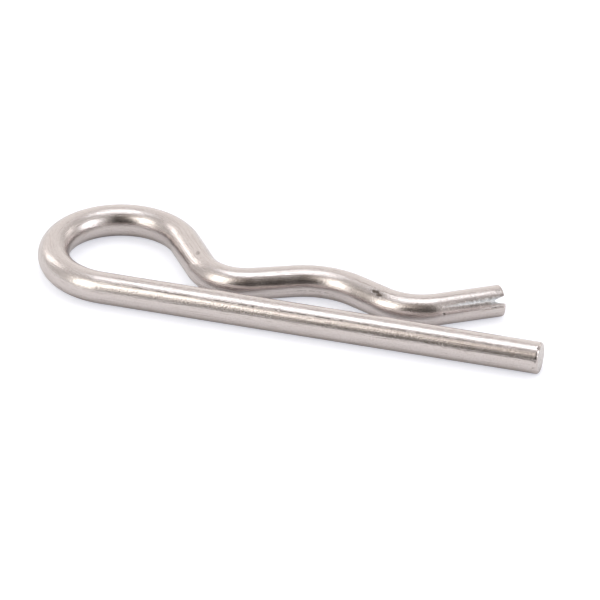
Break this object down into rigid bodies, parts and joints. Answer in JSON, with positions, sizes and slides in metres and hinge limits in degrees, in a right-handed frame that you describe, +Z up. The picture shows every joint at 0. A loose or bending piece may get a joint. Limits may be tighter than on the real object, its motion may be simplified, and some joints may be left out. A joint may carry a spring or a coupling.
{
  "type": "hitch pin",
  "caption": "Bent spring wire clip: a straight leg that goes through a cross hole, a round eye to pull it by, and a wavy leg whose saddle springs over the outside of the shaft.",
  "frame": {"origin": "on the surface that the clip lies on, under the middle of its outline", "axes": "+X along the straight leg towards its free end, +Y from the straight leg towards the wavy leg, +Z up out of the plane of the wire form"},
  "size_m": [0.0668, 0.021, 0.004],
  "materials": {
    "spring_wire": "bright drawn stainless spring wire, tumbled and lightly scuffed"
  },
  "bodies": {
    "root": {"hitch_pin": "spring_wire"}
  },
  "joints": []
}
